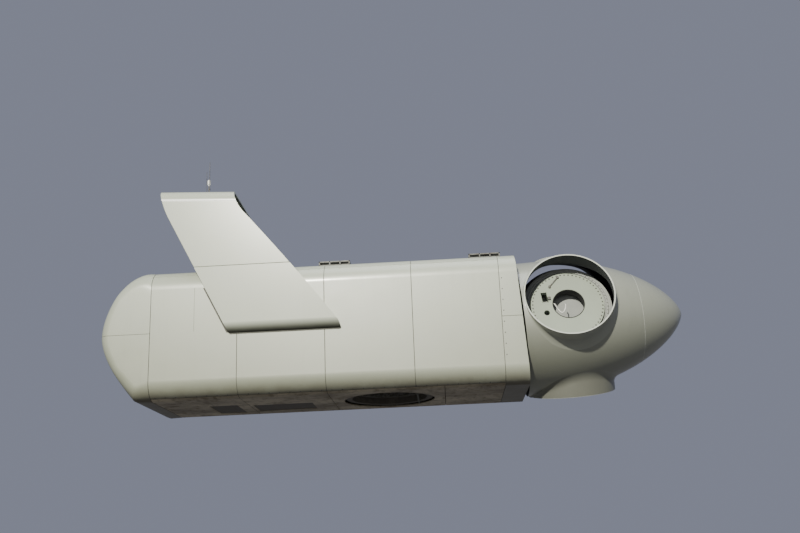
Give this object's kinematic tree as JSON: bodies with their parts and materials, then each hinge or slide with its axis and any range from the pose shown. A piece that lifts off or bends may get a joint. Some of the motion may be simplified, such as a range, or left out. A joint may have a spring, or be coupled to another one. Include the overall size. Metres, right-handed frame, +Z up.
{
  "type": "wind turbine nacelle with hub, spinner and roof cooler",
  "caption": "Nacelle of a wind turbine: a long rounded housing with a slanted cooler on its rear, and a pointed spinner whose open collars show the blade flanges.",
  "frame": {"origin": "on the yaw axis, at the underside of the yaw ring, where the tower's top flange is bolted", "axes": "+X forward along the housing to the spinner's nose, +Y to the machine's left, +Z up"},
  "size_m": [14.4462, 3.9022, 6.5784],
  "materials": {
    "shell_gelcoat": "satin",
    "cooler_gelcoat": "satin",
    "painted_steel": "satin",
    "cast_frame": "matte",
    "bearing_steel": "satin",
    "plate_paint": "satin",
    "hatch_panel": "matte",
    "cooler_core": "matte"
  },
  "bodies": {
    "tower_side": {"yaw_ring": "bearing_steel"},
    "nacelle": {"wall_left_1": "shell_gelcoat", "wall_left_2": "shell_gelcoat", "wall_left_3": "shell_gelcoat", "wall_left_4": "shell_gelcoat", "girder_left": "painted_steel", "cooler_side_upper_left": "cooler_gelcoat", "cooler_side_lower_left": "cooler_gelcoat", "wall_right_1": "shell_gelcoat", "wall_right_2": "shell_gelcoat", "wall_right_3": "shell_gelcoat", "wall_right_4": "shell_gelcoat", "girder_right": "painted_steel", "cooler_side_upper_right": "cooler_gelcoat", "cooler_side_lower_right": "cooler_gelcoat", "roof_1": "shell_gelcoat", "floor_1": "shell_gelcoat", "lifting_frame_1": "painted_steel", "roof_2": "shell_gelcoat", "floor_2": "shell_gelcoat", "lifting_frame_2": "painted_steel", "roof_3": "shell_gelcoat", "floor_3": "shell_gelcoat", "lifting_frame_3": "painted_steel", "roof_4": "shell_gelcoat", "floor_4": "shell_gelcoat", "lifting_frame_4": "painted_steel", "rear_cap_upper": "shell_gelcoat", "rear_cap_lower": "shell_gelcoat", "front_ring_upper": "shell_gelcoat", "front_ring_lower": "shell_gelcoat", "front_bulkhead": "hatch_panel", "floor_hatch_rear": "hatch_panel", "floor_hatch_middle": "hatch_panel", "cooler_top": "cooler_gelcoat", "cooler_beam_rear": "painted_steel", "cooler_beam_front": "painted_steel", "radiator_1": "cooler_core", "radiator_2": "cooler_core", "radiator_3": "cooler_core", "wind_sensor": "painted_steel", "lightning_rod": "painted_steel", "thin_rod": "painted_steel", "bedplate": "cast_frame", "main_bearing_housing": "cast_frame"},
    "rotor": {"spinner_shell": "shell_gelcoat", "spinner_nose": "shell_gelcoat", "spinner_back": "shell_gelcoat", "hub_casting": "cast_frame", "main_shaft": "bearing_steel", "collar_1": "shell_gelcoat", "bearing_ring_1": "bearing_steel", "collar_2": "shell_gelcoat", "bearing_ring_2": "bearing_steel", "collar_3": "shell_gelcoat", "bearing_ring_3": "bearing_steel"},
    "blade_root_1": {"pitch_plate_1": "plate_paint"},
    "blade_root_2": {"pitch_plate_2": "plate_paint"},
    "blade_root_3": {"pitch_plate_3": "plate_paint"}
  },
  "joints": [
    {"name": "yaw", "type": "hinge", "parent": "tower_side", "child": "nacelle", "pos_m": [0, 0, 0.16], "axis": [0, 0, 1], "continuous": true},
    {"name": "rotor_turn", "type": "hinge", "parent": "nacelle", "child": "rotor", "pos_m": [4.55, 0, 1.65], "axis": [0.9986, 0, 0.0523], "continuous": true},
    {"name": "pitch_1", "type": "hinge", "parent": "rotor", "child": "blade_root_1", "pos_m": [4.55, 0, 1.65], "axis": [-0.0128, -0.9699, 0.2433], "range_deg": [-5, 90]},
    {"name": "pitch_2", "type": "hinge", "parent": "rotor", "child": "blade_root_2", "pos_m": [4.55, 0, 1.65], "axis": [0.0503, 0.274, -0.9604], "range_deg": [-5, 90]},
    {"name": "pitch_3", "type": "hinge", "parent": "rotor", "child": "blade_root_3", "pos_m": [4.55, 0, 1.65], "axis": [-0.0376, 0.6959, 0.7171], "range_deg": [-5, 90]}
  ]
}
